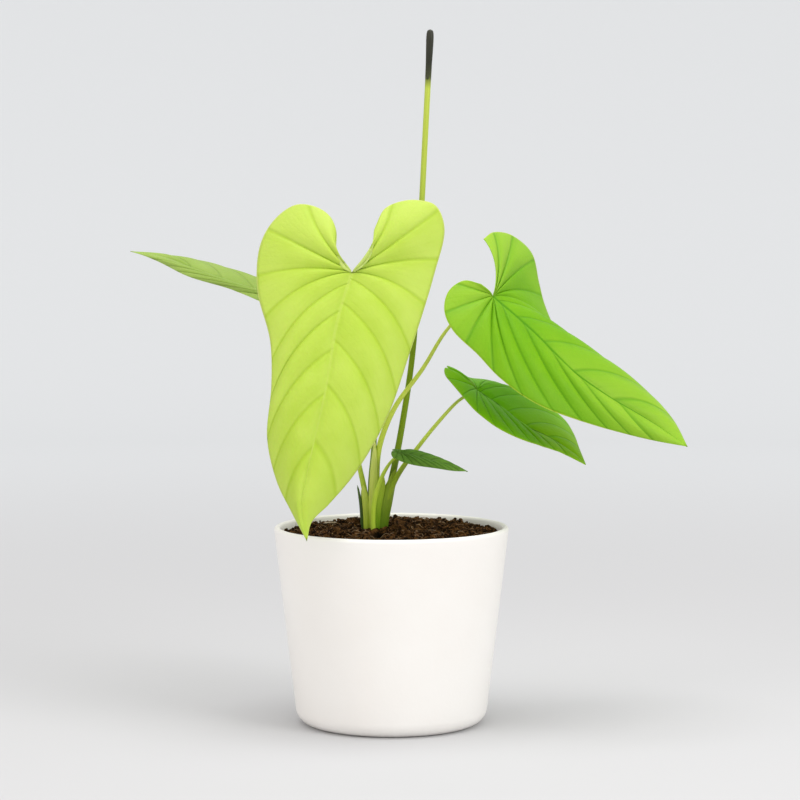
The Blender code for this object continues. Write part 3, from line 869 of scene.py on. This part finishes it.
def blade_material(name, sheet, deep, vein, highlight_tone, midrib, rim, highlight_shares, raised):
    """Waxy leaf skin with painted highlights and painted shade. On the upper face the veins are
    sunk, underneath they stand out.
    """
    material = plain_material(name, sheet, 0.48)
    tree = material.node_tree
    shader = tree.nodes["Principled BSDF"]
    set_flesh(shader, 0.14, 0.12)
    own_map = add_node(tree, "ShaderNodeUVMap", uv_map="blade")
    veins = tree.nodes.new("ShaderNodeGroup")
    veins.node_tree = vein_group
    veins.inputs["Vein width"].default_value = VEIN_WIDTH
    link(tree, own_map.outputs[0], veins.inputs["Map"])
    colour = sheet
    layers = (
        (noise_mask(tree, 38.0, 3.0, 0.35, 0.68), 0.45, deep),
        # Painted highlights: the margin, the tip and the lobes are lightened.
        (veins.outputs["Margin"], highlight_shares[0], highlight_tone),
        (veins.outputs["Tip"], highlight_shares[1], highlight_tone),
        (veins.outputs["Lobe"], highlight_shares[2], highlight_tone),
        # Painted shade: a darker band beside each side vein.
        (veins.outputs["Shade"], 0.34, deep),
        # On the upper face the darker fine vein and side vein lines are painted shade in the sunk
        # veins; underneath the veins take a paler tone.
        (veins.outputs["Fine"], 0.03, deep),
        (veins.outputs["Vein"], 0.5, vein),
        (veins.outputs["Midrib"], 0.9, midrib),
        (veins.outputs["Rim"], 0.9, rim),
    )
    for mask, strength, tone in layers:
        share = add_node(tree, "ShaderNodeMath", operation="MULTIPLY", in_1=strength)
        link(tree, mask, share.inputs[0])
        colour = blend_colours(tree, share.outputs[0], colour, tone)
    link(tree, colour, shader.inputs["Base Color"])
    sign = 1.0 if raised else -1.0
    relief = add_node(tree, "ShaderNodeMath", operation="MULTIPLY_ADD", in_1=FINE_RELIEF * sign)
    link(tree, veins.outputs["Fine"], relief.inputs[0])
    main = add_node(tree, "ShaderNodeMath", operation="MULTIPLY", in_1=sign)
    link(tree, veins.outputs["Vein"], main.inputs[0])
    link(tree, main.outputs[0], relief.inputs[2])
    grain = add_node(tree, "ShaderNodeMath", operation="MULTIPLY_ADD", in_1=GRAIN_RELIEF)
    link(tree, noise_mask(tree, 420.0, 3.0, 0.3, 0.7), grain.inputs[0])
    link(tree, relief.outputs[0], grain.inputs[2])
    add_bump(tree, grain.outputs[0], 0.00028)
    return material


def make_blade(name, leaf):
    """Both halves of a blade, joined along the midrib and given their thickness."""
    bm = bmesh.new()
    layer = bm.loops.layers.uv.new("blade")
    along, across = BLADE_STEPS
    for side in ("left", "right"):
        rows = half_blade(leaf, side)

        def place(s, r):
            return rows[round(s * along)][round(r * across)] * MM

        faces = lay_grid(bm, BLADE_STEPS, place, layer)
        if side == "left":
            bmesh.ops.reverse_faces(bm, faces=faces)
        for face in faces:
            for loop in face.loops:
                t, w = loop[layer].uv
                loop[layer].uv = (vein_phase(t, side), w)
    bmesh.ops.remove_doubles(bm, verts=bm.verts, dist=0.00006)
    bmesh.ops.transform(bm, matrix=leaf_matrix(leaf), verts=bm.verts)
    mesh = smooth_mesh(bm, name)
    c = leaf["colours"]
    upper = blade_material(name + " upper skin", c["sheet"], c["deep"], c["vein"], c["highlight_tone"],
                           c["midrib"], c["rim"], leaf["highlight_shares"], False)
    lower = blade_material(name + " lower skin", c["back"], c["sheet"], c["rim"], c["back"],
                           c["rim"], c["rim"], leaf["highlight_shares"], True)
    blade = add_piece(name + "_blade", mesh, [upper, lower])
    sheet = blade.modifiers.new("thickness", "SOLIDIFY")
    sheet.thickness = BLADE_THICKNESS
    sheet.offset = -1.0
    sheet.material_offset = 1
    sheet.material_offset_rim = 0
    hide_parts(name + "_leaf_blade")
    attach(blade, "root")


for blade_name, blade_leaf in BLADES.items():
    make_blade(blade_name, blade_leaf)


# ---------------------------------------------------------------------------
# Leaf stalks: slim fleshy stalks, grooved on the side that faces the plant's
# middle, thicker towards the foot, each running into the back of its blade.
# ---------------------------------------------------------------------------

STALK_SIDES = 20
FURROW_WIDTH = 0.09
RIDGE_HEIGHT = 0.03

STALKS = {
    "front": [(-13.2, 5.6, 122, 2.4), (-14.2, 6.4, 160, 2.3), (-12.0, 5.6, 190, 2.0),
              (-12.5, 3.0, 232, 1.7), (-18.0, -4.0, 272, 1.5), (-24.5, -15.0, 299, 1.4),
              (-26.2, -23.8, 306.0, 1.3)],
    "left": [(-16.2, 0.8, 122, 2.3), (-17.6, 1.8, 152, 2.2), (-21.5, 4.0, 172, 1.9),
             (-30.0, 12.0, 207, 1.6), (-41.0, 24.0, 248, 1.4), (-50.2, 34.6, 279.4, 1.2)],
    "upper_right": [(-10.5, -0.3, 122, 2.7), (-10.6, -1.0, 160, 2.5), (-8.6, -1.8, 187, 2.2),
                    (1.8, -3.0, 214, 1.9), (21.0, -4.0, 241, 1.6), (36.7, -5.5, 266.5, 1.3),
                    (52.0, -9.0, 282.0, 1.1), (68.0, -14.5, 289.6, 1.0)],
    "lower_right": [(-7.0, -3.4, 122, 2.2), (-4.6, -3.8, 147, 2.3), (3.3, -4.2, 167.5, 2.0),
                    (18.0, -2.6, 188, 1.6), (33.0, 1.5, 206, 1.4), (46.0, 6.0, 219.0, 1.2),
                    (58.2, 11.6, 225.2, 1.0)],
    "small": [(-12.4, -5.8, 122, 1.8), (-11.8, -6.6, 150, 1.9), (-7.5, -9.5, 166, 1.6),
              (-1.5, -14.5, 177.5, 1.2), (4.8, -19.2, 184.6, 0.9)],
}


def stalk_mesh(name, points, groove, spacing=2.5):
    """A closed stalk along (x, y, z, radius) points, with a map along and round it."""
    places = np.array(points, dtype=float)[:, :3]
    length = np.linalg.norm(np.diff(places, axis=0), axis=1).sum()
    steps = max(12, round(length / spacing))
    route = smooth_path(points, steps)
    tangents = np.gradient(route[:, :3], axis=0)

    def place(s, r):
        i = round(s * steps)
        forward = Vector(tangents[i]).normalized()
        side = forward.cross(Vector((0.0, -1.0, 0.15))).normalized()
        front = side.cross(forward)
        turn = 2 * math.pi * r
        radius = float(route[i][3]) * MM
        furrow = groove * math.exp(-((r - 0.5) / FURROW_WIDTH) ** 2)
        radius *= 1.0 - furrow + RIDGE_HEIGHT * math.cos(4 * turn + 0.06 * i)
        if i in (0, steps):
            radius = 0.0
        way = math.cos(turn) * side + math.sin(turn) * front
        return Vector(route[i][:3]) * MM + radius * way

    bm = bmesh.new()
    layer = bm.loops.layers.uv.new("stalk")
    lay_grid(bm, (steps, STALK_SIDES), place, layer)
    return close_mesh(bm, name)


def stalk_material(name, low, middle, high, end=None):
    """Stalk skin that changes colour from the foot up, with faint lengthwise streaks."""
    material = plain_material(name, middle, 0.42)
    tree = material.node_tree
    shader = tree.nodes["Principled BSDF"]
    set_flesh(shader, 0.2, 0.1)
    own_map = add_node(tree, "ShaderNodeUVMap", uv_map="stalk")
    split = tree.nodes.new("ShaderNodeSeparateXYZ")
    link(tree, own_map.outputs[0], split.inputs[0])
    ramp = tree.nodes.new("ShaderNodeValToRGB")
    ramp.color_ramp.elements[0].position = 0.05
    ramp.color_ramp.elements[0].color = (*low, 1.0)
    ramp.color_ramp.elements[1].position = 1.0
    ramp.color_ramp.elements[1].color = (*high, 1.0)
    ramp.color_ramp.elements.new(0.35).color = (*middle, 1.0)
    if end is not None:
        ramp.color_ramp.elements.new(0.962).color = (*high, 1.0)
        ramp.color_ramp.elements[-1].position = 0.986
        ramp.color_ramp.elements[-1].color = (*end, 1.0)
    link(tree, split.outputs[0], ramp.inputs[0])
    stretch = add_node(tree, "ShaderNodeMapping")
    stretch.inputs["Scale"].default_value = (2.0, 16.0, 1.0)
    link(tree, own_map.outputs[0], stretch.inputs["Vector"])
    streak = add_node(tree, "ShaderNodeTexNoise")
    streak.inputs["Scale"].default_value = 3.0
    streak.inputs["Detail"].default_value = 4.0
    link(tree, stretch.outputs[0], streak.inputs["Vector"])
    share = add_node(tree, "ShaderNodeMapRange", in_1=0.4, in_2=0.75, in_3=0.0, in_4=0.35)
    link(tree, streak.outputs["Fac"], share.inputs[0])
    link(tree, blend_colours(tree, share.outputs[0], ramp.outputs[0], low),
         shader.inputs["Base Color"])
    add_bump(tree, streak.outputs["Fac"], 0.0002)
    return material


def make_leaf_stalks():
    skins = {
        # The front stalk's dark foot tone is painted shade where it rises in the clump.
        "front": ((0.12, 0.20, 0.006), (0.24, 0.36, 0.014), (0.42, 0.58, 0.05)),
        "left": ((0.30, 0.44, 0.02), (0.56, 0.70, 0.08), (0.46, 0.56, 0.10)),
        "upper_right": ((0.36, 0.50, 0.02), (0.62, 0.74, 0.09), (0.80, 0.88, 0.18)),
        "lower_right": ((0.12, 0.22, 0.006), (0.38, 0.52, 0.03), (0.80, 0.90, 0.17)),
        "small": ((0.46, 0.62, 0.05), (0.56, 0.76, 0.06), (0.60, 0.78, 0.10)),
    }
    for name, points in STALKS.items():
        mesh = stalk_mesh(name + "_stalk", points, 0.28)
        skin = stalk_material(name + " stalk skin", *skins[name])
        stalk = add_piece(name + "_stalk", mesh, [skin])
        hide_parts(name + "_leaf_stalk")
        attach(stalk, "root")


make_leaf_stalks()


# ---------------------------------------------------------------------------
# Sheaths: thin leafy wings at the foot of every leaf stalk but the front one. They clasp
# the stalk, stand open on one side, and end in a pale point part of the way up.
# ---------------------------------------------------------------------------

SHEATHS = {
    "left": dict(
        route=[(-16.0, 0.8, 122, 3.0), (-16.6, 0.9, 140, 3.1), (-17.4, 1.4, 152, 2.9),
               (-19.0, 2.4, 162, 2.3)],
        toward=-95, spread=95,
        skin=((0.13, 0.25, 0.01), (0.50, 0.64, 0.06), (0.66, 0.76, 0.14))),
    "upper_right": dict(
        route=[(-10.7, -0.4, 122, 3.5), (-11.2, -1.0, 145, 4.0), (-11.0, -1.6, 165, 3.6),
               (-10.2, -1.9, 180, 3.0), (-9.0, -1.9, 193, 2.4)],
        toward=205, spread=100,
        skin=((0.26, 0.40, 0.02), (0.60, 0.72, 0.10), (0.80, 0.88, 0.24))),
    "lower_right": dict(
        route=[(-7.6, -1.7, 122, 3.6), (-6.2, -1.7, 138, 4.2), (-4.0, -1.6, 152, 4.6),
               (-1.2, -1.4, 164, 4.0), (1.2, -1.2, 173, 2.8)],
        toward=-62, spread=98,
        skin=((0.030, 0.085, 0.003), (0.15, 0.26, 0.008), (0.38, 0.50, 0.04))),
    "small": dict(
        route=[(-11.0, -3.6, 122, 2.4), (-10.4, -3.4, 134, 3.2), (-9.2, -3.4, 150, 3.9),
               (-7.8, -4.6, 161, 3.4), (-6.4, -6.6, 168, 2.2)],
        toward=-50, spread=95,
        skin=((0.045, 0.14, 0.003), (0.20, 0.37, 0.008), (0.50, 0.66, 0.05))),
}
SHEATH_STEPS = (40, 24)
SHEATH_THICKNESS = 0.00035
SHEATH_FLARE = 0.16
SHEATH_WAVE = 0.03
SHEATH_DROOP = 2.5


def make_sheath(name, route, toward, spread, skin):
    """A wing round a stalk's (x, y, z, radius) points, open away from its middle."""
    along = SHEATH_STEPS[0]
    path = smooth_path(route, along)

    def place(s, r):
        x, y, z, radius = path[round(s * along)]
        side = 2 * r - 1
        half = math.radians(spread) * (1 - s ** 4) ** 0.5
        turn = math.radians(toward) + half * side
        flare = SHEATH_FLARE * abs(side) ** 4 * (1 - s)
        radius *= 1 + flare + SHEATH_WAVE * math.sin(14 * r + 5 * s)
        droop = SHEATH_DROOP * abs(side) ** 3 * s
        return Vector((x + radius * math.cos(turn), y + radius * math.sin(turn), z - droop)) * MM

    bm = bmesh.new()
    layer = bm.loops.layers.uv.new("stalk")
    lay_grid(bm, SHEATH_STEPS, place, layer)
    bmesh.ops.remove_doubles(bm, verts=bm.verts, dist=0.00002)
    mesh = smooth_mesh(bm, name + "_sheath")
    sheath = add_piece(name + "_sheath", mesh, [stalk_material(name + " sheath skin", *skin)])
    wall = sheath.modifiers.new("thickness", "SOLIDIFY")
    wall.thickness = SHEATH_THICKNESS
    wall.offset = 0.0
    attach(sheath, "root")


for sheath_name, sheath_facts in SHEATHS.items():
    make_sheath(sheath_name, **sheath_facts)


# ---------------------------------------------------------------------------
# Flower stalk and bud: one straight olive stalk through the leaves, ending in a
# closed, nearly black bud with a blunt tip.
# ---------------------------------------------------------------------------

FLOWER_STALK = [(-7.4, 1.4, 122, 2.4), (-4.4, 1.8, 145, 2.4), (2.2, 2.2, 175, 2.2),
                (7.9, 3.2, 206, 2.1), (14.6, 8.0, 253, 2.0), (19.4, 15.0, 330, 1.9),
                (22.8, 18.0, 396, 1.9), (24.9, 19.0, 437, 1.95), (25.1, 19.1, 442, 1.9)]
BUD = [(24.8, 19.0, 434.6, 1.9), (24.85, 19.0, 436.4, 1.99), (25.0, 19.1, 439.5, 2.03),
       (25.3, 19.2, 446, 2.1), (25.8, 19.4, 457, 2.45), (26.1, 19.5, 464.5, 2.55),
       (26.2, 19.6, 468.0, 2.1), (26.25, 19.6, 469.4, 1.1)]
BUD_SPACING = 0.8
BUD_SHINE = 0.28


def make_flower():
    skin = stalk_material("flower stalk skin", (0.14, 0.22, 0.008), (0.26, 0.38, 0.012),
                          (0.56, 0.66, 0.09), (0.05, 0.06, 0.02))
    stalk = add_piece("flower_stem", stalk_mesh("flower_stem", FLOWER_STALK, 0.0), [skin])
    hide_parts("flower_stalk")
    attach(stalk, "root")
    dark = stalk_material("bud skin", (0.052, 0.060, 0.020), (0.014, 0.015, 0.008),
                          (0.035, 0.034, 0.026))
    shader = dark.node_tree.nodes["Principled BSDF"]
    shader.inputs["Specular IOR Level"].default_value = BUD_SHINE
    bud = add_piece("closed_bud", stalk_mesh("closed_bud", BUD, 0.0, BUD_SPACING), [dark])
    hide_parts("flower_bud")
    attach(bud, "root")


make_flower()


# ---------------------------------------------------------------------------
# Scale leaves: dark, dry, pointed remnants of older sheaths, left standing at
# the foot of the clump.
# ---------------------------------------------------------------------------

SCALES = {
    "left_scale": ("left_scale_leaf", [(-19.6, 0.2, 122, 1.5), (-20.6, 0.2, 146, 1.5),
                                       (-23.2, 0.4, 162, 0.5)]),
    "rear_scale": ("rear_scale_leaf", [(-8.2, 7.4, 122, 1.5), (-7.2, 7.6, 144, 1.5),
                                       (-5.0, 8.4, 159, 0.5)]),
}


def make_scales():
    skin = stalk_material("scale skin", (0.050, 0.095, 0.012), (0.042, 0.088, 0.014),
                          (0.09, 0.16, 0.03))
    for name, (node, points) in SCALES.items():
        scale = add_piece(name, stalk_mesh(name, points, 0.5), [skin])
        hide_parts(node)
        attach(scale, "root")


make_scales()
